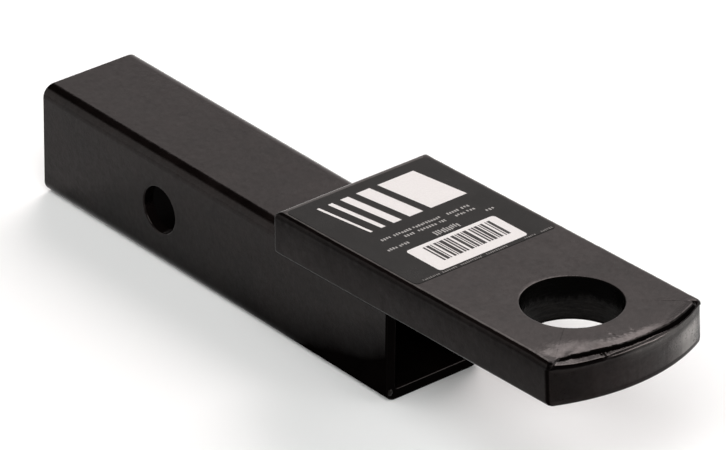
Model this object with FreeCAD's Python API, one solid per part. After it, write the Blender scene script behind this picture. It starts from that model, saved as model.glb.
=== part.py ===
import FreeCAD, Part
import os
from math import acos, atan2, cos, degrees, hypot, pi, radians, sin, tan

# A straight ball mount for a 1-1/4 inch receiver, in millimetres.
# The origin is the centre of the hitch pin hole on the shank's axis.
# +X runs along the shank toward the ball, +Z is up, and the pin lies along Y.

# Shank: square tube that slides into the receiver
shank_size = 31.75
shank_length = 139.7
shank_wall = 3.2
shank_corner_r = 3.5
bore_corner_r = 1.0
sawn_edge_r = 0.4

# Hitch pin
pin_diameter = 12.7
pin_clearance = 0.2
pin_from_end = 49.0
pin_hole_edge = 0.3

# Platform: flat bar that carries the ball
bar_width = 50.0
bar_thickness = 12.0
bar_edge_r = 1.6
platform_length = 108.5
platform_overlap = 32.9
platform_pitch = 1.8
nose_bulge = 6.0
rear_roll_r = 1.8
shear_edge_r = 0.6

# Ball shank
ball_shank_diameter = 25.4
ball_clearance = 0.2
ball_from_tip = 25.0
ball_hole_edge = 0.4

# Rolled lip that the shear leaves along the nose
lip_bead_r = 1.05
lip_drop = 0.3
lip_groove = 0.75
lip_drawdown = 1.9
lip_step = 0.4
lip_bead_start = 150.0
lip_bead_end = -40.0

# Weld beads
weld_leg = 5.2
weld_depth = 2.4
rear_weld_depth = 1.0
mouth_weld_leg = 3.4
mouth_weld_depth = 1.6
weld_pitch = 2.3
weld_ripple = 0.3
weld_crest_place = 0.3
weld_end_gap = 2.0
weld_end_taper = 2.2
weld_end_size = 0.45

# Label film
label_length = 50.0
label_width = 46.0
label_thickness = 0.08
label_corner_r = 1.5
label_from_rear = 2.4

# Worked out from the sizes above
half = shank_size / 2
shank_rear = -pin_from_end
shank_front = shank_rear + shank_length
platform_rear = shank_front - platform_overlap
pitch = radians(platform_pitch)
nose_r = (bar_width ** 2 / 4 + nose_bulge ** 2) / (2 * nose_bulge)
ball_from_rear = platform_length - ball_from_tip
margin = 1.0

X = FreeCAD.Vector(1, 0, 0)
Y = FreeCAD.Vector(0, 1, 0)
Z = FreeCAD.Vector(0, 0, 1)


def on_platform():
    """Place of the platform's own frame: x from its rear end, z from its underside, nose up by the pitch."""
    return FreeCAD.Placement(
        FreeCAD.Vector(platform_rear, 0, half),
        FreeCAD.Rotation(Y, -platform_pitch),
    )


def rounded_rectangle(width, height, radius):
    """Face in the YZ plane, centred on the X axis."""
    w, h = width / 2, height / 2
    k = radius * (1 - cos(pi / 4))
    corners = [(w, h), (-w, h), (-w, -h), (w, -h)]
    arcs = []
    for y, z in corners:
        sy, sz = (1 if y > 0 else -1), (1 if z > 0 else -1)
        upright = FreeCAD.Vector(0, y, z - sz * radius)
        level = FreeCAD.Vector(0, y - sy * radius, z)
        middle = FreeCAD.Vector(0, y - sy * k, z - sz * k)
        ends = (upright, level) if sy * sz > 0 else (level, upright)
        arcs.append((ends[0], middle, ends[1]))
    edges = []
    for i, (start, middle, end) in enumerate(arcs):
        edges.append(Part.Arc(start, middle, end).toShape())
        edges.append(Part.makeLine(end, arcs[(i + 1) % 4][0]))
    return Part.Face(Part.Wire(edges))


def hole_with_edges(radius, length, edge, start, axis):
    """Cutter for a round hole whose two rims are broken by a small chamfer."""
    flare = edge + margin
    end = start + axis * length
    cutter = Part.makeCylinder(radius, length + 2 * margin, start - axis * margin, axis)
    first = Part.makeCone(radius + flare, radius, flare, start - axis * margin, axis)
    last = Part.makeCone(radius + flare, radius, flare, end + axis * margin, axis * -1)
    return cutter.fuse([first, last])


def end_edges(shape, x_values):
    """Edges of a shape that lie wholly in one of the planes x = value."""
    found = []
    for edge in shape.Edges:
        box = edge.BoundBox
        if any(abs(box.XMin - x) < 1e-6 and abs(box.XMax - x) < 1e-6 for x in x_values):
            found.append(edge)
    return found


def shank_tube():
    bore = shank_size - 2 * shank_wall
    tube = rounded_rectangle(shank_size, shank_size, shank_corner_r).extrude(X * shank_length)
    tube = tube.cut(rounded_rectangle(bore, bore, bore_corner_r).extrude(X * shank_length))
    tube.translate(X * shank_rear)
    tube = tube.makeFillet(sawn_edge_r, end_edges(tube, (shank_rear, shank_front)))
    pin_r = (pin_diameter + pin_clearance) / 2
    return tube.cut(hole_with_edges(pin_r, shank_size, pin_hole_edge, Y * -half, Y))


def nose_cutter():
    """What the shear takes off: the outside of the nose, with the rolled lip in its section."""
    top = bar_thickness

    def at(radius, z):
        return FreeCAD.Vector(radius, 0, z)

    bead_x = nose_r - lip_bead_r
    bead_z = top - lip_drop - lip_bead_r

    def on_bead(degrees):
        return at(bead_x + lip_bead_r * cos(radians(degrees)), bead_z + lip_bead_r * sin(radians(degrees)))

    bead_start = on_bead(lip_bead_start)
    bead_end = on_bead(lip_bead_end)
    groove = at(bead_start.x - lip_groove / 2, top - lip_groove - lip_drop / 2)
    top_end = at(groove.x - lip_drawdown, top)
    bend = at(groove.x - lip_drawdown * 0.4, top - lip_groove * 0.3)
    step = at(nose_r - lip_step, bead_end.z - lip_step / 2)
    foot = at(nose_r, shear_edge_r)
    turn = shear_edge_r * (1 - cos(pi / 4))
    heel = at(nose_r - shear_edge_r, 0)
    far = nose_r + 3 * nose_bulge
    outline = [
        Part.Arc(top_end, bend, groove).toShape(),
        Part.makeLine(groove, bead_start),
        Part.Arc(bead_start, on_bead((lip_bead_start + lip_bead_end) / 2), bead_end).toShape(),
        Part.makeLine(bead_end, step),
        Part.makeLine(step, foot),
        Part.Arc(foot, at(nose_r - turn, turn), heel).toShape(),
    ]
    corners = [heel, at(heel.x, -margin), at(far, -margin), at(far, top + margin), at(top_end.x, top + margin), top_end]
    for start, end in zip(corners, corners[1:]):
        outline.append(Part.makeLine(start, end))
    section = Part.Face(Part.Wire(outline))
    sweep = 120
    section.rotate(FreeCAD.Vector(), Z, -sweep / 2)
    cutter = section.revolve(FreeCAD.Vector(), Z, sweep)
    cutter.translate(X * (platform_length - nose_r))
    return cutter


def rear_roll_cutter():
    """What is missing above the rounded upper edge of the sheared rear end."""
    r = rear_roll_r
    across = bar_width / 2 + margin

    def at(x, z):
        return FreeCAD.Vector(x, -across, z)

    turn = r * (1 - cos(pi / 4))
    low = at(0, bar_thickness - r)
    high = at(r, bar_thickness)
    outline = [Part.Arc(low, at(turn, bar_thickness - turn), high).toShape()]
    corners = [high, at(r, bar_thickness + margin), at(-margin, bar_thickness + margin), at(-margin, low.z), low]
    for start, end in zip(corners, corners[1:]):
        outline.append(Part.makeLine(start, end))
    return Part.Face(Part.Wire(outline)).extrude(Y * (2 * across))


def ball_platform():
    bar = rounded_rectangle(bar_width, bar_thickness, bar_edge_r).extrude(X * platform_length)
    bar.translate(Z * (bar_thickness / 2))
    bar = bar.cut([nose_cutter(), rear_roll_cutter()])
    ball_r = (ball_shank_diameter + ball_clearance) / 2
    bar = bar.cut(hole_with_edges(ball_r, bar_thickness, ball_hole_edge, X * ball_from_rear, Z))
    bar.Placement = on_platform()
    return bar


def weld_bead(start, end, first, second, leg, depth_1, depth_2):
    """Rippled fillet weld along the corner from start to end between two faces, with its leg along first.
    A scalloped profile turns from one face to the other, about an axis inside the joined pieces:
    depth_1 back from the corner along first, and depth_2 back along second."""
    run = end - start
    along = FreeCAD.Vector(run).normalize()
    axis = start - first * depth_1 - second * depth_2
    radius = hypot(leg + depth_1, depth_2)
    end_radius = hypot(leg * weld_end_size + depth_1, depth_2)
    rippled = run.Length - 2 * weld_end_taper
    ripples = round(rippled / weld_pitch)
    step = rippled / ripples
    profile = [(0, 0), (0, end_radius)]
    for i in range(ripples):
        trough = weld_end_taper + i * step
        profile.append((trough, radius - weld_ripple))
        profile.append((trough + step * weld_crest_place, radius))
    profile.append((weld_end_taper + rippled, radius - weld_ripple))
    profile.extend([(run.Length, end_radius), (run.Length, 0), (0, 0)])
    outward = (start + first * leg - axis).normalize()
    points = [axis + along * distance + outward * r for distance, r in profile]
    turn = acos(depth_1 / radius) - atan2(depth_2, leg + depth_1)
    return Part.Face(Part.makePolygon(points)).revolve(axis, first.cross(second), degrees(turn))


def underside_height(x):
    """Height of the platform's underside above the shank's axis."""
    return half + (x - platform_rear) * tan(pitch)


def side_weld(side, tube, platform):
    """Bead in the corner under the platform's overhang. It fills in over the shank's rounded corner."""
    first_x = platform_rear + weld_end_gap
    last_x = shank_front - weld_end_gap
    start = FreeCAD.Vector(first_x, side * half, underside_height(first_x))
    end = FreeCAD.Vector(last_x, side * half, underside_height(last_x))
    down = on_platform().Rotation.multVec(Z * -1)
    bead = weld_bead(start, end, Y * side, down, weld_leg, weld_depth, weld_depth)
    return bead.cut([tube, platform])


def rear_weld(tube, platform):
    """Bead across the top of the shank, against the platform's rear end."""
    across = half - shank_corner_r
    start = FreeCAD.Vector(platform_rear, -across, half)
    end = FreeCAD.Vector(platform_rear, across, half)
    bead = weld_bead(start, end, X * -1, Z, weld_leg, 0, rear_weld_depth)
    return bead.cut([tube, platform])


def mouth_weld(tube, platform):
    """Bead across the shank's forward end, against the platform's underside."""
    across = half - shank_corner_r
    height = underside_height(shank_front)
    start = FreeCAD.Vector(shank_front, across, height)
    end = FreeCAD.Vector(shank_front, -across, height)
    bead = weld_bead(start, end, X, Z * -1, mouth_weld_leg, mouth_weld_depth, mouth_weld_depth)
    return bead.cut([tube, platform])


def label():
    film = rounded_rectangle(label_width, label_length, label_corner_r).extrude(X * label_thickness)
    film.rotate(FreeCAD.Vector(), Y, -90)
    film.translate(X * (label_from_rear + label_length / 2) + Z * bar_thickness)
    film.Placement = on_platform().multiply(film.Placement)
    return film


def build():
    tube = shank_tube()
    platform = ball_platform()
    return {
        "shank_tube": tube,
        "ball_platform": platform,
        "rear_weld": rear_weld(tube, platform),
        "near_side_weld": side_weld(-1, tube, platform),
        "far_side_weld": side_weld(1, tube, platform),
        "mouth_weld": mouth_weld(tube, platform),
        "label": label(),
    }


os.makedirs("parts", exist_ok=True)
for name, shape in build().items():
    shape.exportStep("parts/" + name + ".step")
    print(name, "solids", len(shape.Solids), "valid", shape.isValid(), "volume", round(shape.Volume, 1))
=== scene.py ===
import bmesh
import bpy
from math import acos, asin, atan2, cos, exp, floor, hypot, pi, radians, sin, sqrt, tan
from mathutils import Matrix, Vector, noise


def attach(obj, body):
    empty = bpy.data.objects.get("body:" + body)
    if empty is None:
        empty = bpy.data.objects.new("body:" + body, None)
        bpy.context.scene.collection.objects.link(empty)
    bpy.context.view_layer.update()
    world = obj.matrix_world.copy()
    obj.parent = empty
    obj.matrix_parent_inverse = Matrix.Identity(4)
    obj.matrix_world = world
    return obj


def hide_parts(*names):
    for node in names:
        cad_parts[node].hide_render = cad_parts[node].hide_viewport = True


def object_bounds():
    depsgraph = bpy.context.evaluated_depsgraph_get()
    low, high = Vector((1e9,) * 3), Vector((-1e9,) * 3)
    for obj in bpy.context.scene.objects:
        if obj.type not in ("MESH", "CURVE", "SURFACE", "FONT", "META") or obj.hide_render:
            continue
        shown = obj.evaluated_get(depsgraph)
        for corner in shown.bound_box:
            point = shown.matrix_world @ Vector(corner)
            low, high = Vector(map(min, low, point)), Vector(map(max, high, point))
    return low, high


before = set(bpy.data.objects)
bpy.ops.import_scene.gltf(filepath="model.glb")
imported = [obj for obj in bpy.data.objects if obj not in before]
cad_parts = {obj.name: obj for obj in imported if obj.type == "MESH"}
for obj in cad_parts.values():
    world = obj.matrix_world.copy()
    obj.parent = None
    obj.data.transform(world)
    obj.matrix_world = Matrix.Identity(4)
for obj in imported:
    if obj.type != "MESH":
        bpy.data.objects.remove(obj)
cad_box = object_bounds()

MM = 0.001
X, Y, Z = Vector((1, 0, 0)), Vector((0, 1, 0)), Vector((0, 0, 1))
scene = bpy.context.scene
scene.view_settings.view_transform = "Standard"

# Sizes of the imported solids, in millimetres. The origin is the centre of the pin hole on the shank's axis.
shank_half = 15.875
shank_rear = -49.0
shank_front = 90.7
shank_corner_r = 3.5
platform_rear = 57.8
platform_pitch = radians(1.8)
film_thickness = 0.08

# The platform, in its own frame: x from its rear end, y across, z from its underside
bar_length = 108.5
bar_width = 50.0
bar_thickness = 12.0
bar_edge_r = 1.6
rear_roll_r = 1.8
nose_bulge = 6.0
nose_r = (bar_width ** 2 / 4 + nose_bulge ** 2) / (2 * nose_bulge)
nose_centre = bar_length - nose_r
nose_run = 2 * nose_r * asin(bar_width / 2 / nose_r)
hole_r = 12.8
hole_rim = 0.4
hole_from_tip = 25.0
hole_x = bar_length - hole_from_tip
platform_place = Matrix.Translation((platform_rear, 0, shank_half)) @ Matrix.Rotation(-platform_pitch, 4, "Y")
to_metres = Matrix.Scale(MM, 4)


# Helpers
def link(obj):
    scene.collection.objects.link(obj)
    return obj


def blend(first, last, share):
    return first + (last - first) * share


def smooth(value, low, high):
    """0 below low, 1 above high, with a soft step between."""
    t = min(1.0, max(0.0, (value - low) / (high - low)))
    return t * t * (3 - 2 * t)


def hump(value, middle, width):
    """A bell of height 1."""
    return exp(-((value - middle) / width) ** 2)


def wobble(seed, x, y=0.0, z=0.0):
    """Smooth noise from about -1 to 1."""
    return noise.noise(Vector((x + 17.3 * seed, y - 9.1 * seed, z + 4.7 * seed)))


def grid_mesh(name, rows, rows_close, keep_sharp):
    """Mesh from rows of points. Each row is a closed loop, and if rows_close the last row meets the first."""
    columns = len(rows[0])
    faces = []
    for r in range(len(rows) if rows_close else len(rows) - 1):
        s = (r + 1) % len(rows)
        for c in range(columns):
            d = (c + 1) % columns
            faces.append((r * columns + c, s * columns + c, s * columns + d, r * columns + d))
    mesh = bpy.data.meshes.new(name)
    mesh.from_pydata([p for row in rows for p in row], [], faces)
    mesh.polygons.foreach_set("use_smooth", [True] * len(mesh.polygons))
    mesh.set_sharp_from_angle(angle=radians(keep_sharp))
    return mesh


def close_ends(mesh):
    """Fill the open first and last row of a mesh."""
    shape = bmesh.new()
    shape.from_mesh(mesh)
    bmesh.ops.holes_fill(shape, edges=[edge for edge in shape.edges if edge.is_boundary])
    shape.to_mesh(mesh)
    shape.free()


def face_outward(mesh):
    """Turn the faces of a closed mesh so that they look outward."""
    shape = bmesh.new()
    shape.from_mesh(mesh)
    if shape.calc_volume(signed=True) < 0:
        bmesh.ops.reverse_faces(shape, faces=shape.faces)
        shape.to_mesh(mesh)
    shape.free()


def add_piece(name, mesh):
    """Put a mesh in the scene as an object of its own."""
    return link(bpy.data.objects.new(name, mesh))


# Camera, fitted to the edges in the photo
view_target = Vector((62.59, 0.0, 17.43)) * MM
view_distance = 1528.29 * MM
view_azimuth = radians(-40.49)
view_elevation = radians(29.43)
view_roll = radians(0.77)

backward = Vector((
    cos(view_azimuth) * cos(view_elevation),
    sin(view_azimuth) * cos(view_elevation),
    sin(view_elevation),
))
camera_data = bpy.data.cameras.new("view")
camera_data.lens = 301.48
camera_data.sensor_width = 36.0
camera_data.clip_start = 0.05
camera_data.clip_end = 50.0
camera = link(bpy.data.objects.new("view", camera_data))
aim = (-backward).to_track_quat("-Z", "Y").to_matrix().to_4x4() @ Matrix.Rotation(view_roll, 4, "Z")
camera.matrix_world = Matrix.Translation(view_target + backward * view_distance) @ aim
scene.camera = camera


# Materials
class Nodes:
    """Short ways to add nodes to a material or a world."""

    def __init__(self, owner, output="ShaderNodeOutputMaterial"):
        self.owner = owner
        owner.use_nodes = True
        self.tree = owner.node_tree
        self.tree.nodes.clear()
        self.output = self.add(output)

    def add(self, kind, **settings):
        node = self.tree.nodes.new(kind)
        for key, value in settings.items():
            setattr(node, key, value)
        return node

    def join(self, source, target):
        self.tree.links.new(source, target)

    def math(self, operation, first, second=None, clamp=False):
        node = self.add("ShaderNodeMath", operation=operation, use_clamp=clamp)
        for socket, value in zip(node.inputs, (first, second)):
            if value is None:
                continue
            if isinstance(value, (int, float)):
                socket.default_value = value
            else:
                self.join(value, socket)
        return node.outputs[0]

    def noise(self, vector, scale, detail=3.0, roughness=0.5):
        node = self.add("ShaderNodeTexNoise")
        self.join(vector, node.inputs["Vector"])
        node.inputs["Scale"].default_value = scale
        node.inputs["Detail"].default_value = detail
        node.inputs["Roughness"].default_value = roughness
        return node.outputs["Fac"]

    def ramp(self, value, low, high, to_low=0.0, to_high=1.0, **settings):
        node = self.add("ShaderNodeMapRange", **settings)
        self.join(value, node.inputs["Value"])
        for name, number in (("From Min", low), ("From Max", high), ("To Min", to_low), ("To Max", to_high)):
            node.inputs[name].default_value = number
        return node.outputs["Result"]

    def mix_colour(self, factor, first, second):
        node = self.add("ShaderNodeMix", data_type="RGBA")
        self.join(factor, node.inputs["Factor"])
        for socket, value in ((node.inputs[6], first), (node.inputs[7], second)):
            if isinstance(value, tuple):
                socket.default_value = (*value, 1.0)
            else:
                self.join(value, socket)
        return node.outputs[2]

    def bump(self, height, distance, strength, normal=None):
        node = self.add("ShaderNodeBump")
        node.inputs["Strength"].default_value = strength
        node.inputs["Distance"].default_value = distance
        self.join(height, node.inputs["Height"])
        if normal is not None:
            self.join(normal, node.inputs["Normal"])
        return node.outputs["Normal"]

    def attribute(self, name):
        return self.add("ShaderNodeAttribute", attribute_name=name).outputs["Fac"]

    def object_place(self):
        return self.add("ShaderNodeTexCoord").outputs["Object"]

    def parts(self, vector):
        """The X, Y and Z sockets of a vector."""
        node = self.add("ShaderNodeSeparateXYZ")
        self.join(vector, node.inputs[0])
        return node.outputs

    def size_of(self, value):
        return self.math("ABSOLUTE", value)

    def finish(self, shader):
        self.join(shader.outputs[0], self.output.inputs["Surface"])
        return self.owner


# Colour of bare steel, also laid on some rolled edges and on the nose's far face as a painted sheen.
bare_steel_and_sheen = (0.17, 0.162, 0.155)
# Near black of painted shade.
painted_shade_black = (0.0006, 0.0005, 0.0005)


def paint(name, dark, light, roughness, peel, grain, ior=1.22, painted_shading=None, unevenness=0.045):
    """Black paint on steel: slow changes of colour and gloss, orange peel and fine grain.
    painted_shading adds nodes for painted shade: the share of the gloss that is lost, and of the colour that
    goes to near black, from place to place. A mesh can add to it by its attributes painted_shade,
    bared_and_sheen (steel shows through the paint, and on some edges a painted sheen) and sheared (thin rough
    paint on torn steel). Where painted_shade falls below zero it is a painted highlight."""
    n = Nodes(bpy.data.materials.new(name))
    place = n.object_place()
    shader = n.add("ShaderNodeBsdfPrincipled")
    patches = n.noise(place, 90.0, 4.0, 0.6)
    fine = n.noise(place, 1500.0, 3.0, 0.6)
    painted_shade, bared_and_sheen, sheared = n.attribute("painted_shade"), n.attribute("bared_and_sheen"), n.attribute("sheared")
    if painted_shading:
        painted_shade = n.math("ADD", painted_shade, n.math("MULTIPLY", n.math("SUBTRACT", 1.0, painted_shade), painted_shading(n)))
    bared_and_sheen = n.math("MULTIPLY", bared_and_sheen, n.ramp(patches, 0.3, 0.7, 0.85, 1.15))

    colour = n.mix_colour(n.ramp(patches, 0.35, 0.65), dark, light)
    # Painted shade: the colour goes toward near black as painted_shade rises.
    colour = n.mix_colour(n.math("MULTIPLY", painted_shade, 0.75, clamp=True), colour, painted_shade_black)
    # Bare steel where the paint is worn, and a painted sheen on some edges.
    n.join(n.mix_colour(bared_and_sheen, colour, bare_steel_and_sheen), shader.inputs["Base Color"])

    gloss = n.ramp(patches, 0.3, 0.7, roughness - 0.04, roughness + 0.05)
    gloss = n.math("ADD", gloss, n.ramp(fine, 0.3, 0.7, -0.03, 0.03))
    n.join(n.math("ADD", gloss, n.math("MULTIPLY", sheared, 0.20)), shader.inputs["Roughness"])
    n.join(n.ramp(sheared, 0.0, 1.0, ior, ior + 0.14), shader.inputs["IOR"])

    mottle = n.ramp(n.noise(place, 230.0, 3.0, 0.6), 0.35, 0.65)
    n.join(n.mix_colour(mottle, (1.0, 0.85, 0.82), (0.97, 0.88, 0.86)), shader.inputs["Specular Tint"])
    uneven = n.ramp(n.noise(place, 620.0, 4.0, 0.7), 0.3, 0.7, 0.5 - unevenness, 0.5 + unevenness)
    # Painted shade takes the reflection away; below zero it makes a painted highlight.
    n.join(n.math("MULTIPLY", n.math("SUBTRACT", 1.0, painted_shade), uneven), shader.inputs["Specular IOR Level"])

    normal = n.bump(n.noise(place, 420.0, 2.0, 0.5), 0.0006, peel)
    n.join(n.bump(fine, 0.0002, grain, normal), shader.inputs["Normal"])
    return n.finish(shader)


def tube_painted_shade(n):
    """Painted shade: the sawn ends are made dark and without gloss, and so is the lower part of the sides,
    more and higher up toward the mouth, and so is the upright rounding at the mouth's edge.
    """
    geometry = n.add("ShaderNodeNewGeometry")
    facing, place = n.parts(geometry.outputs["Normal"]), n.parts(geometry.outputs["Position"])
    sawn_end_shade = n.ramp(n.size_of(facing["X"]), 0.97, 0.995, 0.0, 0.97)
    patches = n.noise(geometry.outputs["Position"], 60.0, 3.0, 0.6)
    along = n.ramp(place["X"], shank_rear * MM, shank_front * MM)
    rise_at_mouth = n.math("MULTIPLY", n.math("POWER", along, 6.0), 0.010)
    reach = n.math("ADD", n.math("MULTIPLY", along, 0.009), rise_at_mouth)
    reach = n.math("ADD", n.math("ADD", reach, 0.007), n.ramp(patches, 0.3, 0.7, -0.0012, 0.0012))
    height = n.math("ADD", place["Z"], shank_half * MM)
    low = n.math("DIVIDE", n.math("SUBTRACT", reach, height), 0.0135, clamp=True)
    low = n.math("MULTIPLY", low, n.ramp(n.size_of(facing["Y"]), 0.05, 0.35))
    mouth_edge = n.ramp(place["X"], (shank_front - 0.6) * MM, (shank_front - 0.4) * MM, 0.0, 0.95)
    upright = n.math("MULTIPLY", mouth_edge, n.ramp(n.size_of(facing["Y"]), 0.1, 0.25))
    return n.math("MAXIMUM", n.math("MAXIMUM", sawn_end_shade, low), upright)


def bar_painted_shade_and_highlight(n):
    """Painted shade on the bar's long sides, most of all under the upper edge, and a painted highlight, a
    stronger reflection, on its flat top toward the nose's near corner.
    """
    geometry = n.add("ShaderNodeNewGeometry")
    facing, place = n.parts(geometry.outputs["Normal"]), n.parts(geometry.outputs["Position"])
    rise = n.math("MULTIPLY", n.math("SUBTRACT", place["X"], platform_rear * MM), tan(platform_pitch))
    above_bottom = n.math("SUBTRACT", place["Z"], n.math("ADD", rise, shank_half * MM))
    height = n.math("DIVIDE", above_bottom, bar_thickness * MM, clamp=True)
    patches = n.noise(geometry.outputs["Position"], 80.0, 3.0, 0.6)
    share = n.math("ADD", n.math("MULTIPLY", height, 0.42), n.ramp(patches, 0.3, 0.7, 0.08, 0.24))
    side = n.math("MULTIPLY", share, n.ramp(n.size_of(facing["Y"]), 0.75, 0.97))
    toward_near_corner = n.math("SUBTRACT", place["X"], place["Y"])
    # Painted highlight on the flat top, growing toward the nose's near corner.
    painted_highlight = n.ramp(toward_near_corner, 0.117, 0.162, 0.30, 0.62)
    painted_highlight = n.math("MULTIPLY", n.ramp(facing["Z"], 0.93, 0.985), painted_highlight)
    return n.math("SUBTRACT", side, painted_highlight)


def shaded_torn_finish():
    """Wall of the ball hole: thin smooth paint above, torn steel under paint below, both with painted shade:
    darker and far less reflective than the bar's paint.
    """
    n = Nodes(bpy.data.materials.new("hole_paint_and_shade"))
    torn = n.attribute("torn")
    shader = n.add("ShaderNodeBsdfPrincipled")
    squeezed = n.add("ShaderNodeVectorMath", operation="MULTIPLY")
    n.join(n.object_place(), squeezed.inputs[0])
    squeezed.inputs[1].default_value = (1.0, 1.0, 6.0)
    fine = n.noise(squeezed.outputs[0], 330.0, 5.0, 0.7)
    torn_steel = n.mix_colour(n.ramp(fine, 0.35, 0.65), (0.0012, 0.0010, 0.0009), (0.0085, 0.0076, 0.0070))
    # Painted shade: the smooth paint is near black, and the low IOR below keeps its reflection weak.
    n.join(n.mix_colour(torn, (0.0009, 0.0008, 0.0007), torn_steel), shader.inputs["Base Color"])
    n.join(n.ramp(torn, 0.0, 1.0, 0.22, 0.42), shader.inputs["Roughness"])
    n.join(n.ramp(torn, 0.0, 1.0, 1.06, 1.145), shader.inputs["IOR"])
    n.join(n.bump(fine, 0.0003, 0.5), shader.inputs["Normal"])
    return n.finish(shader)


def print_ink(name, dark, light, roughness):
    """Flat ink on the film, a little uneven."""
    n = Nodes(bpy.data.materials.new(name))
    shader = n.add("ShaderNodeBsdfPrincipled")
    fine = n.noise(n.object_place(), 2400.0, 3.0, 0.6)
    n.join(n.mix_colour(n.ramp(fine, 0.3, 0.7), dark, light), shader.inputs["Base Color"])
    n.join(n.ramp(fine, 0.3, 0.7, roughness - 0.05, roughness + 0.05), shader.inputs["Roughness"])
    shader.inputs["Specular IOR Level"].default_value = 0.1
    n.join(n.bump(fine, 0.00005, 0.15), shader.inputs["Normal"])
    return n.finish(shader)


# The tube's and the bar's paint carry painted shade from their painted_shading fields.
tube_paint = paint(
    "tube_paint", (0.0022, 0.0016, 0.0015), (0.0044, 0.0031, 0.0029),
    roughness=0.10, peel=0.06, grain=0.14, painted_shading=tube_painted_shade, unevenness=0.09,
)
bar_paint = paint(
    "bar_paint", (0.0023, 0.0017, 0.0016), (0.0046, 0.0032, 0.0030),
    roughness=0.10, peel=0.06, grain=0.14, painted_shading=bar_painted_shade_and_highlight, unevenness=0.11,
)
weld_paint = paint(
    "weld_bead_paint", (0.0019, 0.0017, 0.0016), (0.0036, 0.0032, 0.0030),
    roughness=0.16, peel=0.12, grain=0.25,
)
film = paint(
    "film", (0.0036, 0.0048, 0.0044), (0.0050, 0.0062, 0.0058),
    roughness=0.22, peel=0.03, grain=0.06, ior=1.15,
)
hole_paint_and_shade = shaded_torn_finish()
white_ink = print_ink("white_ink", (0.64, 0.62, 0.615), (0.70, 0.68, 0.675), 0.40)
grey_ink = print_ink("grey_ink", (0.25, 0.24, 0.235), (0.38, 0.37, 0.36), 0.40)
faint_ink = print_ink("faint_ink", (0.08, 0.077, 0.075), (0.19, 0.18, 0.175), 0.40)
black_ink = print_ink("black_ink", (0.010, 0.009, 0.009), (0.020, 0.018, 0.018), 0.35)

node_materials = {
    "shank_tube": tube_paint,
    "ball_platform": bar_paint,
    "rear_weld": weld_paint,
    "near_side_weld": weld_paint,
    "far_side_weld": weld_paint,
    "mouth_weld": weld_paint,
    "label": film,
}
for node, material in node_materials.items():
    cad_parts[node].material_slots[0].material = material


# Platform: rows of points run round it, from the top face over its edge and down to the underside.
# The flat rows start flat_inset in from the outline, and the edge rows reach down by edge_depth.
edge_depth = 2.1
flat_inset = 4.6
nose_edge_r = 1.25
nose_step = 0.3
foot_rear_r = 0.2
foot_nose_r = 0.6
flat_rows, edge_rows, face_rows, foot_rows, under_rows = 16, 27, 14, 8, 4
top_fan, under_fan = 46, 8

# Points of one row: the nose, the far side, the rear and the near side, each followed by a corner
nose_columns, side_columns, rear_columns, corner_columns = 224, 128, 56, 5
nose_trim = 3
corner_pull = 0.80
corner_points = corner_columns + 1
nose_points, side_points, rear_points = nose_columns + 1 - 2 * nose_trim, side_columns - 1, rear_columns - 1
far_start = nose_points + corner_points
rear_start = far_start + side_points + corner_points
near_start = rear_start + rear_points + corner_points
last_corner = near_start + side_points
row_points = last_corner + corner_points


class Level:
    """Where one row lies: its kind, its share of that kind's rows, its height, and its insets at the sides,
    at the rear and at the nose's plain form."""

    def __init__(self, kind, share, height, side_in, rear_in, nose_in):
        self.kind, self.share, self.height = kind, share, height
        self.side_in, self.rear_in, self.nose_in = side_in, rear_in, nose_in


def rounding(depth, r):
    """How far a rounded edge of radius r stands in at that depth below the face."""
    return 0.0 if depth >= r else r - sqrt(max(0.0, 2 * r * depth - depth * depth))


def find_levels():
    """Rows of the platform's outside, from the top face round the edge to the underside."""
    found = []
    for i in range(flat_rows):
        t = i / flat_rows
        insets = (blend(flat_inset, r, t) for r in (bar_edge_r, rear_roll_r, nose_edge_r))
        found.append(Level("flat", t, bar_thickness, *insets))
    round_share = 0.62
    for i in range(edge_rows):
        t = i / (edge_rows - 1)
        depth = bar_edge_r * (1 - cos(pi / 2 * min(1.0, t / round_share)))
        depth += max(0.0, t - round_share) / (1 - round_share) * (edge_depth - bar_edge_r)
        side_in, rear_in = rounding(depth, bar_edge_r), rounding(depth, rear_roll_r)
        nose_in = rounding(depth, nose_edge_r) + nose_step * smooth(depth, 1.45, 1.8)
        found.append(Level("edge", t, bar_thickness - depth, side_in, rear_in, nose_in))
    for i in range(1, face_rows + 1):
        t = i / face_rows
        height = blend(bar_thickness - edge_depth, bar_edge_r, t)
        found.append(Level("face", t, height, 0.0, 0.0, nose_step * (1 - t)))
    for i in range(1, foot_rows + 1):
        t = i / foot_rows
        height = bar_edge_r - bar_edge_r * sin(pi / 2 * t)
        insets = (rounding(height, r) for r in (bar_edge_r, foot_rear_r, foot_nose_r))
        found.append(Level("foot", t, height, *insets))
    for i in range(1, under_rows + 1):
        t = i / under_rows
        insets = (blend(r, flat_inset, t) for r in (bar_edge_r, foot_rear_r, foot_nose_r))
        found.append(Level("under", t, 0.0, *insets))
    return found


levels = find_levels()


def nose_place(x, y):
    """Inset from the nose's curve and distance along it, of a place on the bar."""
    return nose_r - hypot(x - nose_centre, y), nose_run / 2 + atan2(y, x - nose_centre) * nose_r


def groove_place(run):
    """Inset of the lip's groove. It comes forward to the edge toward the far corner."""
    place = 2.3 + 0.65 * smooth(run, 2.0, 7.0) - 1.35 * smooth(run, 8.0, 26.0)
    place -= 1.25 * smooth(run, 24.0, 42.0)
    return place + 0.15 * (1 - smooth(run, 14.1, 15.5))


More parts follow.
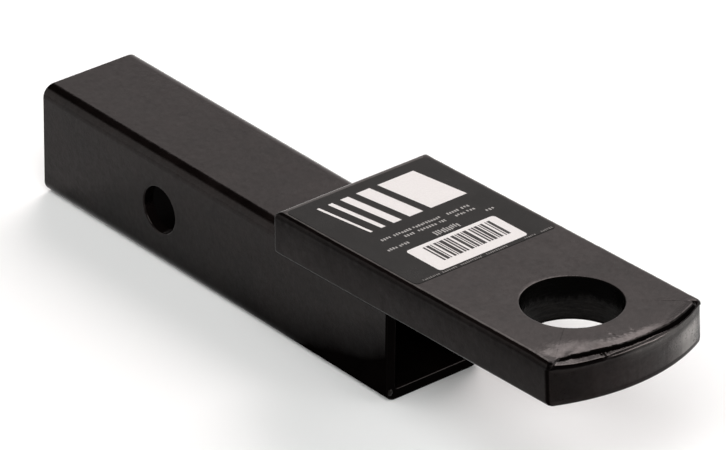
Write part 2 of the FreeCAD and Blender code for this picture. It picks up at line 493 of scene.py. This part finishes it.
def droop(x, y):
    """How far the shear drew the top face down behind the lip, and the lip with it."""
    from_nose, run = nose_place(x, y)
    drop = 0.44 - 0.20 * smooth(run, 10.0, 22.0) - 0.16 * smooth(run, 27.0, 38.0)
    drop *= 0.5 + 0.5 * smooth(run, 0.5, 4.0)
    width = 3.9 - 2.4 * smooth(run, 8.0, 21.0)
    return drop * hump(max(0.0, from_nose - groove_place(run) - 0.35), 0.0, width)


# Shares of the edge rows at which the crease, the ledge, its rounded front and the second ledge end
crease_end, ledge_end, front_end, second_end = 0.12, 0.42, 0.62, 0.72


class Lip:
    """Section of the rolled lip at a distance along the nose from its near corner, in insets and heights.
    A slope falls from the top face into a groove. In front of it a ledge leans forward and rounds over. Below
    its middle part is a second, narrow ledge. The droop of the whole edge is added later."""

    def __init__(self, run):
        self.run = run
        self.near = 1 - smooth(run, 17.0, 30.0)
        middle = smooth(run, 14.6, 18.0) * (1 - smooth(run, 36.0, 46.0))
        late = smooth(run, 26.0, 40.0)
        self.nick = hump(run, 15.0, 0.5) + 0.4 * hump(run, 16.5, 0.3)
        sunk = 0.20 + 0.25 * smooth(run, 2.0, 8.0) + 0.08 * smooth(run, 10.0, 22.0)
        sunk += 0.40 * smooth(run, 28.0, 39.0) - 0.55 * smooth(run, 44.0, 51.0)
        lip_top = bar_thickness - sunk

        ragged = 0.10 * wobble(1, run * 0.55) + 0.05 * wobble(2, run * 1.9)
        self.groove_in = groove_place(run) + ragged * (1 - 0.7 * late)
        self.groove_z = lip_top - (0.80 - 0.20 * late + 0.10 * wobble(3, run * 0.4)) - 0.06 * self.nick
        self.slope = 0.42 + 0.20 * late + 0.10 * wobble(16, run * 0.7)
        self.back_in = self.groove_in - 0.20 + 0.08 * late
        self.back_z = lip_top - (0.34 + 0.16 * late) - 0.10 * self.nick + 0.03 * wobble(6, run * 1.1)
        self.lean = radians(1.4 + 20.0 * late + 1.5 * wobble(4, run * 0.3))
        self.second = 0.46 * smooth(run, 15.4, 18.5) * (1 - smooth(run, 31.0, 40.0))
        self.end_in = 0.04 + self.second + 0.03 * wobble(5, run * 0.8)
        widest = 0.8 * (self.back_in - self.end_in) / (1 - sin(self.lean))
        self.front_r = min(0.50 - 0.22 * middle + 0.9 * late, widest)
        self.front_in = self.end_in + self.front_r * (1 - sin(self.lean))
        self.front_z = self.back_z - tan(self.lean) * (self.back_in - self.front_in)
        self.end_z = self.front_z - self.front_r * cos(self.lean)
        self.drop = 0.16 * self.near + 0.04
        self.face_top = bar_thickness - edge_depth - 0.8 * sunk

    def flat(self, t):
        """Top face over the first half of the rows, then the slope into the groove."""
        shoulder = self.groove_in + self.slope
        sink = 0.04 * self.near
        if t < 0.5:
            share = t / 0.5
            return blend(flat_inset, shoulder, share), bar_thickness - sink * share * share
        share = (t - 0.5) / 0.5
        fall = (self.groove_z - bar_thickness + sink) * share ** 1.35
        return blend(shoulder, self.groove_in, share), bar_thickness - sink + fall

    def edge(self, t):
        """From the groove over the ledge and its front to the top of the sheared face."""
        if t < crease_end:
            share = t / crease_end
            z = blend(self.groove_z, self.back_z, smooth(share, -0.2, 1.1))
            return blend(self.groove_in, self.back_in, share), z
        if t < ledge_end:
            share = (t - crease_end) / (ledge_end - crease_end)
            dents = 0.06 * self.nick * hump(share, 0.3, 0.3) + 0.015 * wobble(8, self.run * 2.6, share * 3)
            return blend(self.back_in, self.front_in, share), blend(self.back_z, self.front_z, share) - dents
        if t < front_end:
            angle = self.lean + (pi / 2 - self.lean) * (t - ledge_end) / (front_end - ledge_end)
            z = self.end_z + self.front_r * cos(angle) - 0.40 * self.second * smooth(t, 0.52, front_end)
            return self.end_in + self.front_r * (1 - sin(angle)), z
        crease_z = self.end_z - 0.40 * self.second
        ledge_z = crease_z - 0.18 * self.second
        if t < second_end:
            share = (t - front_end) / (second_end - front_end)
            return self.end_in - self.second * 0.8 * share, blend(crease_z, ledge_z, share)
        share = (t - second_end) / (1 - second_end)
        turned = 1 - (1 - share) ** 2
        inset = self.end_in - self.second * (0.8 + 0.2 * turned)
        inset += (self.drop - self.end_in + self.second) * smooth(share, 0.4, 1.0)
        return inset, blend(ledge_z, self.face_top, share ** 1.3)

    def face(self, t):
        """Sheared face, with drag marks and a burnished lower band."""
        z = blend(self.face_top, bar_edge_r, t)
        drag = 0.022 * wobble(9, self.run * 0.9, z * 0.06) + 0.012 * wobble(10, self.run * 2.7, z * 0.10)
        band_edge = 0.9 * wobble(11, self.run * 0.22)
        burnish = 0.05 * smooth(z, 4.6 + band_edge, 5.6 + band_edge)
        return self.drop * (1 - t) ** 1.5 + drag + 0.05 - burnish * (1 - t), z

    def place(self, kind, t):
        """Inset and height in a row, or None where the nose has its plain form."""
        shape = {"flat": self.flat, "edge": self.edge, "face": self.face}.get(kind)
        return shape(t) if shape else None


def groove_painted_shade(kind, t, run):
    """Painted shade in the lip's groove and in the creases under its ledges, and on the rolled slope and the
    ledge toward the far corner: the paint there is made dark and loses its gloss.
    """
    within = smooth(run, 1.4, 3.4) * smooth(nose_run - run, 0.8, 2.2)
    if kind == "flat":
        rolled = 0.50 * smooth(run, 28.0, 42.0) * smooth(t, 0.15, 0.35)
        return max(rolled, within * smooth((t - 0.5) / 0.5, 0.08, 0.40))
    if kind == "edge" and t < crease_end:
        return within * (1 - smooth(t / crease_end, 0.4, 1.0))
    if kind == "edge":
        near = 1 - smooth(run, 14.0, 18.0)
        middle = (1 - near) * (1 - smooth(run, 30.0, 38.0))
        under_ledge = 0.95 * near * smooth(t, 0.45, 0.53) * (1 - smooth(t, 0.80, 0.98))
        under_first = 0.6 * middle * smooth(t, 0.46, 0.53) * (1 - smooth(t, 0.57, 0.62))
        under_second = 0.8 * middle * smooth(t, 0.70, 0.76) * (1 - smooth(t, 0.86, 1.0))
        late = 0.60 * smooth(run, 31.0, 40.0) * smooth(t, 0.3, 0.45)
        return max(under_ledge, under_first, under_second, late)
    return 0.0


# Scuffs behind the lip: x, y and length of each
scuffs = (
    (102.9, -5.6, 1.2), (103.4, -4.4, 0.9), (103.3, -2.9, 1.3), (103.9, -1.1, 1.0),
    (103.0, 1.6, 1.0), (101.2, -3.7, 0.8), (102.2, -7.3, 0.8), (104.2, 0.5, 1.1),
)


def surface_dip(x, y):
    """How far the top face lies below its plane: dents near the lip, scuffs, and waves ahead of the label."""
    from_nose, run = nose_place(x, y)
    dip = 0.10 * wobble(17, x * 0.45, y * 0.45) * hump(max(0.0, from_nose - 3.0), 0.0, 3.8)
    dip = dip * (1 - smooth(run, 5.0, 21.0)) * smooth(x, 60.0, 75.0)
    for scuff_x, scuff_y, length in scuffs:
        across = (y - scuff_y) / 0.36
        along = (x - scuff_x - 0.25 * (y - scuff_y)) / length
        if abs(along) < 3 and abs(across) < 3:
            dip += 0.085 * along * exp(-along * along - across * across)
    waves = 0.014 * wobble(12, x * 0.11, y * 0.13) + 0.007 * wobble(13, x * 0.33, y * 0.30)
    return dip + waves * smooth(x, 52.6, 58.0)


def dip_fades(x, y):
    """0 at the hole's rim, at a long side and at the rear end, and 1 a little way in from each."""
    rim_r = hole_r + hole_rim
    at_hole = smooth(hypot(x - hole_x, y), rim_r, rim_r + 1.5)
    return at_hole, smooth(bar_width / 2 - abs(y), 0.4, 2.6), smooth(x, 1.8, 4.0)


def edge_waver(p, front, ragged):
    """How far a long edge is uneven at a point: small nicks and slow waves, always toward the middle."""
    side = 1 if p.y > 0 else -1
    away = smooth(p.x, 1.0, 4.0) * smooth(front - p.x, 1.0, 4.0)
    nicks = 0.085 * ragged * (0.8 + wobble(14, p.x * 0.9, side * 7, p.z * 0.4))
    waves = 0.014 * (0.8 + wobble(15, p.x * 0.12, side * 3, p.z * 0.3))
    return side * away * max(0.0, nicks + waves)


def outline_row(level, lips):
    """One closed row round the platform, with its four corners rounded a little."""
    half_width = bar_width / 2 - level.side_in
    bend = asin(half_width / (nose_r - level.nose_in))
    nose = []
    for i, lip in enumerate(lips):
        inset, z = level.nose_in, level.height
        shaped = lip.place(level.kind, level.share)
        if shaped:
            weight = smooth(lip.run, 0.6, 2.6) * smooth(nose_run - lip.run, 0.2, 1.6)
            inset, z = blend(inset, shaped[0], weight), blend(z, shaped[1], weight)
        angle = (2 * i / nose_columns - 1) * bend
        nose.append(Vector((nose_centre + (nose_r - inset) * cos(angle), (nose_r - inset) * sin(angle), z)))
    front, rear_x, z = nose[0].x, level.rear_in, level.height
    steps = range(side_columns + 1)
    far_side = [Vector((front + (rear_x - front) * i / side_columns, half_width, z)) for i in steps]
    near_side = [Vector((rear_x + (front - rear_x) * i / side_columns, -half_width, z)) for i in steps]
    rear = [Vector((rear_x, half_width * (1 - 2 * i / rear_columns), z)) for i in range(rear_columns + 1)]
    if level.kind in ("edge", "face"):
        for p in far_side + near_side:
            p.y -= edge_waver(p, front, 0.3 if level.kind == "face" else 1.0)
    row = []
    parts = (nose, far_side, rear, near_side)
    for part, following in zip(parts, parts[1:] + parts[:1]):
        corner = part[-1]
        before = corner + (part[-2] - corner).normalized() * corner_pull
        after = corner + (following[1] - corner).normalized() * corner_pull
        trim = nose_trim if part is nose else 1
        row.extend(part[trim:-trim])
        for j in range(corner_points):
            u = j / corner_columns
            row.append(before * (1 - u) ** 2 + corner * (2 * u * (1 - u)) + after * u ** 2)
    return row


def fan(outer, height, count):
    """Rows on a flat face between the hole's rim and an outer row."""
    rows = []
    for m in range(1, count):
        row = []
        for p in outer:
            away = Vector((p.x - hole_x, p.y, 0)).normalized()
            rim = Vector((hole_x, 0, height)) + away * (hole_r + hole_rim)
            row.append(rim.lerp(p, m / count))
        rows.append(row)
    return rows


def hole_section():
    """Height and flare of the hole's rows, from the lower rim up the wall to the upper rim."""
    rim_steps, wall_steps = 5, 30
    bends = [pi / 2 * i / rim_steps for i in range(rim_steps + 1)]
    section = [(hole_rim * (1 - cos(bend)), hole_rim * (1 - sin(bend))) for bend in bends]
    wall = bar_thickness - 2 * hole_rim
    section += [(hole_rim + wall * i / wall_steps, 0.0) for i in range(1, wall_steps)]
    section += [(bar_thickness - hole_rim * (1 - sin(bend)), hole_rim * (1 - cos(bend))) for bend in bends]
    return section


def hole_rows(low_angles, high_angles):
    """Rows of the hole's wall and how torn each point is: a smooth band above, torn steel below."""
    rows, torn_rows = [], []
    section = hole_section()
    for number, (z, flare) in enumerate(section):
        share = number / (len(section) - 1)
        row, torn_row = [], []
        for low, high in zip(low_angles, high_angles):
            angle = blend(low, high, share)
            cx, cy = cos(angle), sin(angle)
            edge = 7.6 + 1.3 * wobble(20, cx * 1.8, cy * 1.8) + 1.0 * wobble(21, cx * 10, cy * 10, z * 0.5)
            edge += 0.6 * wobble(25, cx * 30, cy * 30, z)
            torn = (1 - smooth(z, edge - 2.8, edge + 0.4)) * smooth(z, 0.3, 0.9)
            rough = 0.10 * wobble(22, cx * 9, cy * 9, z * 0.9) + 0.05 * wobble(23, cx * 26, cy * 26, z * 2.4)
            phase = z * 2 * pi / 0.62 + 1.5 * wobble(24, cx * 3, cy * 3)
            lines = 0.05 * sin(phase) * smooth(z, 0.5, 1.0) * (1 - smooth(z, 2.4, 3.4))
            r = hole_r + flare + torn * (0.22 + rough + lines)
            row.append(Vector((hole_x + r * cx, r * cy, z)))
            torn_row.append(torn)
        rows.append(row)
        torn_rows.append(torn_row)
    return rows, torn_rows


def nose_wear(level, u):
    """Sheared, bared steel with painted sheen, and painted shade at a share of the way along the nose."""
    kind, t = level.kind, level.share
    run = u * nose_run
    worn = smooth(run, 17.0, 26.0) * smooth(1 - u, 0.02, 0.08)
    toward_far = 0.35 + 0.65 * smooth(u, 0.3, 0.8)
    if kind == "face":
        fade = smooth(t, 0.0, 0.25)
        sheared = max(smooth(u, 0.10, 0.85) * smooth(1 - u, 0.02, 0.06) * fade, 0.9 * worn * (1 - fade))
        streak = 1 + 0.30 * wobble(61, u * 24) + 0.25 * wobble(62, u * 55, level.height * 0.12)
        # upper is bared steel worn through the paint; far_end is a painted sheen that lightens the face
        # toward the far corner.
        upper = 0.24 * worn * (1 - smooth(t, 0.0, 0.35)) * toward_far
        far_end = smooth(u, 0.66, 0.93) * smooth(1 - u, 0.01, 0.10) * fade * streak
        band = 0.72 + 0.60 * hump(level.height, 6.3, 1.7)
        # Painted shade on the face's near part, and on its upper part toward the far corner.
        near_painted_shade = 0.36 * (1 - smooth(u, 0.05, 0.34))
        far_painted_shade = 0.60 * smooth(run, 31.0, 40.0) * (1 - smooth(t, 0.0, 0.42))
        return sheared, max(upper, far_end) * band, max(near_painted_shade, far_painted_shade)
    if kind == "edge" and t > 0.45:
        bared_and_sheen = 0.24 * worn * smooth(t, 0.5, 0.66) * toward_far * (1 + 0.3 * wobble(64, u * 30))
        return 0.9 * worn, bared_and_sheen, groove_painted_shade(kind, t, run)
    return 0.0, 0.0, groove_painted_shade(kind, t, run)


def row_wear(level):
    """Wear, painted sheen and painted shade of each point of a row: lists for sheared, bared_and_sheen and
    painted_shade.
    """
    kind, t = level.kind, level.share
    wear = [nose_wear(level, (i + nose_trim) / nose_columns) for i in range(nose_points)]
    wear += [(0.0, 0.0, 0.0)] * (row_points - nose_points)
    sheared, bared_and_sheen, painted_shade = (list(values) for values in zip(*wear))

    # Painted shade on the long sides: under the upper edge, a little on the face, and on the lower rounding.
    side_painted_shade = 0.0
    if kind == "edge":
        side_painted_shade = 0.42 * smooth(t, 0.20, 0.34) * (1 - 0.85 * smooth(t, 0.42, 0.68))
    elif kind == "face":
        side_painted_shade = 0.09 * (1 - smooth(t, 0.0, 0.35))
    elif kind == "foot":
        side_painted_shade = 0.58 * smooth(t, 0.0, 0.25)
    for i in range(side_points):
        painted_shade[near_start + i] = painted_shade[far_start + i] = side_painted_shade
    # Painted sheen along the near side's upper edge.
    if (kind == "flat" and t > 0.84) or (kind == "edge" and t < 0.07):
        for i in range(side_points):
            bared_and_sheen[near_start + i] = 0.20 + 0.10 * wobble(63, i * 0.35)

    # Painted sheen and painted shade on the rolled rear edge.
    if (kind == "flat" and t > 0.5) or (kind == "edge" and t < 0.5):
        rolled = t if kind == "edge" else 0.0
        for i in range(rear_points):
            bared_and_sheen[rear_start + i] = 0.20 + 0.05 * wobble(65, i * 0.4)
            painted_shade[rear_start + i] = 0.35 * smooth(rolled, 0.08, 0.25)
            sheared[rear_start + i] = 0.5 * smooth(rolled, 0.1, 0.3)

    # Painted shade on the corner where the near side meets the nose.
    if kind in ("edge", "face", "foot"):
        painted_shade[last_corner:] = (0.0, 0.4, 0.9, 0.95, 0.9, 0.5)
        painted_shade[0] = max(painted_shade[0], 0.3)
    return sheared, bared_and_sheen, painted_shade


def lower_top(rows, flat_start):
    """Lower the top face and the upper half of the edge by the dips, and all above the foot by the droop."""
    dipped_edge_rows = 14
    dip_end = flat_start + flat_rows + dipped_edge_rows
    for number, row in enumerate(rows[:dip_end]):
        share = 1 - smooth(number, flat_start + flat_rows - 1, dip_end)
        for p in row:
            at_hole, at_side, at_rear = dip_fades(p.x, p.y)
            p.z -= share * surface_dip(p.x, p.y) * at_hole * at_side * at_rear
    droop_from_x = 80.0
    face_start = flat_start + flat_rows + edge_rows
    for number, row in enumerate(rows[:face_start + face_rows]):
        share = min(1.0, 1 - (number - face_start + 1) / face_rows)
        for p in row:
            if p.x > droop_from_x:
                p.z -= share * droop(p.x, p.y)


def platform_mesh():
    """The bar with its hole, its sheared nose and the rolled lip, with attributes for the wear, the painted
    sheen and the painted shade.
    """
    lips = [Lip(i / nose_columns * nose_run) for i in range(nose_columns + 1)]
    loops = [outline_row(level, lips) for level in levels]
    top_rows = fan(loops[0], bar_thickness, top_fan)
    under = fan(loops[-1], 0.0, under_fan)
    low_angles, high_angles = ([atan2(p.y, p.x - hole_x) for p in row] for row in (loops[-1], loops[0]))
    wall, torn_rows = hole_rows(low_angles, high_angles)
    rows = top_rows + loops + under[::-1] + wall
    lower_top(rows, len(top_rows))
    mesh = grid_mesh("platform", rows, True, 50)

    torn = [0.0] * ((len(rows) - len(wall)) * row_points) + [value for row in torn_rows for value in row]
    mesh.attributes.new("torn", "FLOAT", "POINT").data.foreach_set("value", torn)
    wear = [row_wear(level) for level in levels]
    for index, name in enumerate(("sheared", "bared_and_sheen", "painted_shade")):
        values = [0.0] * (len(top_rows) * row_points) + [value for lists in wear for value in lists[index]]
        values += [0.0] * (len(mesh.vertices) - len(values))
        mesh.attributes.new(name, "FLOAT", "POINT").data.foreach_set("value", values)

    # The wall has the hole's own paint with painted shade, apart from the last rows of faces at the upper
    # rim.
    first_wall = (len(rows) - len(wall)) * row_points
    last_wall = len(mesh.polygons) - 3 * row_points
    mesh.materials.append(bar_paint)
    mesh.materials.append(hole_paint_and_shade)
    on_wall = [int(first_wall <= number < last_wall) for number in range(len(mesh.polygons))]
    mesh.polygons.foreach_set("material_index", on_wall)
    mesh.transform(to_metres @ platform_place)
    face_outward(mesh)
    return mesh


platform = add_piece("platform", platform_mesh())
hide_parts("ball_platform")
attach(platform, "root")


# Paint on the rims of the pin hole, and a drop of it at the mouth
def rim_mesh(side):
    """Ring of paint that rounds over from the tube's side into the pin hole. It is thickest at the rim.
    Its section is in radii and distances from the tube's middle. Its hidden part lies in the tube's wall."""
    outer_r, crest_r, inner_r, hidden_r = 6.95, 6.88, 6.38, 6.60
    crest_y, outer_y, hidden_y, inner_y = 15.885, 15.877, 15.70, 12.80
    turn_depth, turn_steps, steps = 0.55, 8, 120
    section = [(outer_r, hidden_y), (outer_r, outer_y)]
    for i in range(turn_steps + 1):
        bend = pi / 2 * i / turn_steps
        section.append((crest_r - (crest_r - inner_r) * sin(bend), crest_y - turn_depth * (1 - cos(bend))))
    section += [(inner_r, inner_y), (hidden_r, inner_y)]
    rows = []
    for i in range(steps):
        angle = 2 * pi * i / steps
        build_up = 0.02 * wobble(70 + side, cos(angle) * 2.0, sin(angle) * 2.0)
        ring = [(r - build_up, side * y) for r, y in section]
        rows.append([Vector((r * cos(angle), y, r * sin(angle))) for r, y in ring])
    mesh = grid_mesh("rim", rows, True, 40)
    mesh.materials.append(tube_paint)
    mesh.transform(to_metres)
    face_outward(mesh)
    return mesh


def drip_mesh():
    """Drop of paint that stayed on the tube's lower corner at the mouth: a small egg."""
    middle_x, middle_y, middle_z = 90.60, -14.35, -13.2
    half_x, half_y, half_z = 0.44, 0.8, 1.0
    steps_down, steps_round = 16, 28
    turns = [2 * pi * j / steps_round for j in range(steps_round)]
    rows = []
    for i in range(1, steps_down):
        v = pi * i / steps_down
        ring_x, ring_y, z = half_x * sin(v), half_y * sin(v), middle_z + half_z * cos(v)
        ring = [(middle_x + ring_x * cos(turn), middle_y + ring_y * sin(turn)) for turn in turns]
        rows.append([Vector((x, y, z)) for x, y in ring])
    mesh = grid_mesh("drip", rows, False, 60)
    close_ends(mesh)
    mesh.materials.append(weld_paint)
    mesh.transform(to_metres)
    face_outward(mesh)
    return mesh


for side, name in ((-1, "pin_rim_near"), (1, "pin_rim_far")):
    rim = add_piece(name, rim_mesh(side))
    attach(rim, "root")

drip = add_piece("paint_drip", drip_mesh())
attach(drip, "root")


# Weld beads, as long and as wide as their solids
weld_pitch = 2.3
weld_end_taper = 2.2
weld_end_gap = 2.0
side_leg, side_depth = 5.2, 2.4
rear_leg, rear_depth = 5.2, 1.0
mouth_leg, mouth_depth = 3.4, 1.6


def weld_mesh(name, start, end, first, second, leg, depths, seed):
    """Fillet weld in the corner from start to end between two faces: crescents laid one over the other.
    The section is an arc from the first face to the second, about a line inside the joined pieces."""
    depth_1, depth_2 = depths
    length = (end - start).length
    along = (end - start).normalized()
    middle = start - first * depth_1 - second * depth_2
    inside = middle - first * 0.3
    steps, across = round(length * 6), 30
    rows = []
    for i in range(steps + 1):
        s = length * i / steps
        from_end = min(1.0, max(0.0, min(s, length - s)) / weld_end_taper)
        size = 0.16 + 0.84 * sqrt(1 - (1 - from_end) ** 2)
        body = hypot(leg * size + depth_1, depth_2)
        row = []
        for j in range(across + 1):
            c = 2 * j / across - 1
            beat = s / weld_pitch + 0.30 * wobble(seed, s * 0.23) + 0.62 * c * c
            number = floor(beat)
            part = beat - number
            crest = smooth(part, 0.0, 0.32) if part < 0.32 else 1 - smooth(part, 0.32, 1.0) ** 0.8
            depth = 0.34 + 0.10 * wobble(seed + 1, number * 0.77)
            lumps = 0.16 * wobble(seed + 2, number * 0.61 + part * 0.2, c * 0.7)
            lumps += 0.03 * wobble(seed + 3, s * 3.1, c * 4.0)
            r = body - depth * (1 - crest) * (1 - 0.5 * c ** 4) + lumps
            r = max(r, depth_1 + depth_2 + 0.4)
            low, high = asin(depth_2 / r) - 0.15 / r, acos(depth_1 / r) + 0.15 / r
            angle = low + (high - low) * j / across
            row.append(middle + along * s + (first * cos(angle) + second * sin(angle)) * r)
        row.append(inside + along * s)
        rows.append(row)
    mesh = grid_mesh(name, rows, False, 60)
    close_ends(mesh)
    mesh.materials.append(weld_paint)
    mesh.transform(to_metres)
    face_outward(mesh)
    return mesh


def under_bar(x, y):
    """Point on the platform's underside."""
    return Vector((x, y, shank_half + (x - platform_rear) * tan(platform_pitch)))


across_top = shank_half - shank_corner_r
side_ends = platform_rear + weld_end_gap, shank_front - weld_end_gap
rear_corner = [Vector((platform_rear, side * across_top, shank_half)) for side in (-1, 1)]
near_corner = [under_bar(x, -shank_half) for x in side_ends]
far_corner = [under_bar(x, shank_half) for x in side_ends]
mouth_corner = [under_bar(shank_front, side * across_top) for side in (1, -1)]
down = platform_place.to_3x3() @ -Z

# Each weld: its node, its corner, the ways out of the corner along the two faces, its leg, depths and seed
welds = (
    ("rear_weld", rear_corner, (-X, Z), rear_leg, (0.0, rear_depth), 30),
    ("near_side_weld", near_corner, (-Y, down), side_leg, (side_depth, side_depth), 35),
    ("far_side_weld", far_corner, (Y, down), side_leg, (side_depth, side_depth), 40),
    ("mouth_weld", mouth_corner, (X, -Z), mouth_leg, (mouth_depth, mouth_depth), 45),
)
for node, corner, faces, leg, depths, seed in welds:
    bead = add_piece(node + "_bead", weld_mesh(node + "_bead", *corner, *faces, leg, depths, seed))
    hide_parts(node)
    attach(bead, "root")


# Print on the label, generic: bars that grow into a field, rows of marks, and a panel with stripes
film_top = bar_thickness + film_thickness
ink_bottom = film_top - 0.02
ink_top = film_top + 0.02
white_top = film_top + 0.03
stripe_bottom = film_top + 0.01
stripe_top = film_top + 0.045


def add_print(name, outlines, low, high, ink):
    """One piece made of thin closed prisms over flat outlines in the platform's frame."""
    points, faces = [], []
    for outline in outlines:
        count, first = len(outline), len(points)
        points.extend((x, y, low) for x, y in outline)
        points.extend((x, y, high) for x, y in outline)
        faces.append([first + i for i in range(count)])
        faces.append([first + count + i for i in range(count)])
        for i in range(count):
            following = (i + 1) % count
            faces.append([first + i, first + following, first + count + following, first + count + i])
    mesh = bpy.data.meshes.new(name)
    mesh.from_pydata(points, [], faces)
    shape = bmesh.new()
    shape.from_mesh(mesh)
    bmesh.ops.recalc_face_normals(shape, faces=shape.faces)
    shape.to_mesh(mesh)
    shape.free()
    mesh.materials.append(ink)
    mesh.transform(to_metres @ platform_place)
    printed = add_piece(name, mesh)
    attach(printed, "root")


def box(x0, x1, y0, y1, slant=0.0):
    return [(x0, y0), (x0, y1), (x1, y1 + slant), (x1, y0 + slant)]


def rounded_box(x0, x1, y0, y1, r):
    corner_steps = 6
    corners = ((x1 - r, y1 - r), (x0 + r, y1 - r), (x0 + r, y0 + r), (x1 - r, y0 + r))
    outline = []
    for number, (cx, cy) in enumerate(corners):
        for i in range(corner_steps + 1):
            angle = radians(90 * number + 90 / corner_steps * i)
            outline.append((cx + r * cos(angle), cy + r * sin(angle)))
    return outline


def print_marks(x0, x1, spans, pitch, seed):
    """A line of small blocks between x0 and x1, over spans of y. They aren't letters."""
    marks = []
    tall = x1 - x0
    for low, high in spans:
        count = max(1, round((high - low) / pitch))
        step = (high - low) / count
        for i in range(count):
            change = wobble(seed, i * 1.7 + low * 3.1)
            y0 = low + step * i
            y1 = y0 + step * (0.56 + 0.12 * change)
            raised = 0.18 * tall if change > 0.15 else 0.0
            lowered = 0.2 * tall if change < -0.2 else 0.0
            marks.append(box(x0 + raised, x1 - lowered, y0, y1))
    return marks


def stripes(x0, x1, y, last_y):
    """Upright stripes whose widths and gaps change in turn."""
    least_width = 0.5
    found = []
    widths = (0.55, 0.95, 0.35, 0.75, 0.35, 1.15, 0.55)
    gaps = (0.45, 0.32, 0.75, 0.38, 0.32)
    while y < last_y - least_width:
        wide = widths[len(found) % len(widths)]
        gap = gaps[len(found) % len(gaps)]
        found.append(box(x0, x1, y, min(last_y, y + wide)))
        y += wide + gap
    return found


motif_bars = ((3.6, 15.4), (-3.4, 1.0), (-8.6, -6.0), (-12.6, -11.2), (-16.2, -15.4))
motif = [box(6.3, 24.4, y0, y1, slant=2.2) for y0, y1 in motif_bars]
panel = rounded_box(37.6, 50.8, -13.9, 14.8, 1.0)
add_print("label_white", motif + [panel], ink_bottom, white_top, white_ink)

small = print_marks(34.3, 36.5, [(-2.5, 5.6)], 0.81, 1)
small += print_marks(34.0, 35.0, [(-16.9, -13.6), (-13.1, -9.8), (15.2, 18.1)], 0.85, 2)
words = [(-8.9, -5.6), (-4.5, 1.6), (2.4, 4.6), (7.6, 10.9), (11.4, 14.1)]
small += print_marks(31.1, 32.1, words, 0.85, 3)
words = [(-14.7, -11.4), (-10.7, -4.9), (-4.4, 4.6), (6.6, 10.6), (11.3, 14.1)]
small += print_marks(29.0, 30.0, words, 0.85, 4)
add_print("label_small_print", small, ink_bottom, ink_top, grey_ink)

words = [(-20.3, -14.7), (-14.0, -9.2), (-8.1, -1.2), (0.2, 7.2), (12.7, 16.4), (18.1, 22.0)]
front_line = print_marks(51.4, 52.1, words, 0.65, 5)
add_print("label_front_line", front_line, ink_bottom, ink_top, faint_ink)

add_print("label_bars", stripes(39.0, 47.4, -9.6, 12.1), stripe_bottom, stripe_top, black_ink)


# Floor: white from above, and clear from below
def floor_material():
    n = Nodes(bpy.data.materials.new("floor"))
    shader = n.add("ShaderNodeBsdfDiffuse")
    shader.inputs["Color"].default_value = (0.945, 0.96, 0.965, 1.0)
    mix = n.add("ShaderNodeMixShader")
    n.join(n.add("ShaderNodeNewGeometry").outputs["Backfacing"], mix.inputs["Fac"])
    n.join(shader.outputs[0], mix.inputs[1])
    n.join(n.add("ShaderNodeBsdfTransparent").outputs[0], mix.inputs[2])
    return n.finish(mix)


floor_half = 6.0
floor_level = cad_box[0].z
quarters = ((-1, -1), (1, -1), (1, 1), (-1, 1))
floor_corners = [(floor_half * x, floor_half * y, floor_level) for x, y in quarters]
floor_mesh = bpy.data.meshes.new("floor")
floor_mesh.from_pydata(floor_corners, [], [(0, 1, 2, 3)])
floor_mesh.materials.append(floor_material())
ground = link(bpy.data.objects.new("ground", floor_mesh))


# Light: a studio round the object, with dark and bright fields
studio = Nodes(bpy.data.worlds.new("studio"), "ShaderNodeOutputWorld")
scene.world = studio.owner
background = studio.add("ShaderNodeBackground")
direction = studio.add("ShaderNodeTexCoord").outputs["Generated"]
toward = studio.parts(direction)


def step(value, low, high):
    """0 below low, 1 above high, with a soft step between."""
    return studio.ramp(value, low, high, interpolation_type="SMOOTHSTEP")


def spot(middle, outer, inner):
    """1 within the inner angle round a direction, 0 outside the outer one, both in degrees."""
    dot = studio.add("ShaderNodeVectorMath", operation="DOT_PRODUCT")
    dot.inputs[1].default_value = Vector(middle).normalized()
    studio.join(direction, dot.inputs[0])
    return step(dot.outputs["Value"], cos(radians(outer)), cos(radians(inner)))


def times(first, second):
    return studio.math("MULTIPLY", first, second)


def lessen(value, part):
    """The value without a share of it."""
    return times(value, studio.math("SUBTRACT", 1.0, part))


base_light = 0.42
bright_wall = lessen(step(toward["Y"], 0.36, 0.46), step(toward["Z"], 0.58, 0.70))
bright_wall = lessen(bright_wall, step(toward["X"], 0.30, 0.70))
light = studio.math("ADD", base_light, times(bright_wall, 0.97))
light = lessen(light, times(spot((-0.63, 0.08, 0.77), 27.5, 22.5), 0.98))
dark_field = times(spot((0.35, 0.55, 0.75), 40.0, 30.0), step(toward["Z"], 0.25, 0.38))
dark_field = lessen(dark_field, step(toward["Y"], 0.66, 0.80))
light = lessen(light, times(dark_field, 0.98))

# Each bright field: its direction, its outer and inner angles, and its strength
bright_fields = (
    ((-0.62, -0.70, 0.26), 30.0, 20.0, 1.2),
    ((-0.36, 0.60, 0.715), 21.0, 9.0, 5.7),
    ((0.45, -0.45, 0.77), 24.0, 18.0, 4.3),
    ((0.80, 0.58, 0.15), 24.0, 12.0, 4.5),
)
for middle, outer, inner, strength in bright_fields:
    light = studio.math("ADD", light, times(spot(middle, outer, inner), strength))
studio.join(light, background.inputs["Strength"])

# The part of the studio that the top faces reflect is a little warmer.
studio_colour, warm_colour = (1.0, 0.99, 0.975), (1.0, 0.92, 0.905)
tint = studio.mix_colour(spot((-0.56, 0.60, 0.57), 42.0, 26.0), studio_colour, warm_colour)
studio.join(tint, background.inputs["Color"])
studio.finish(background)
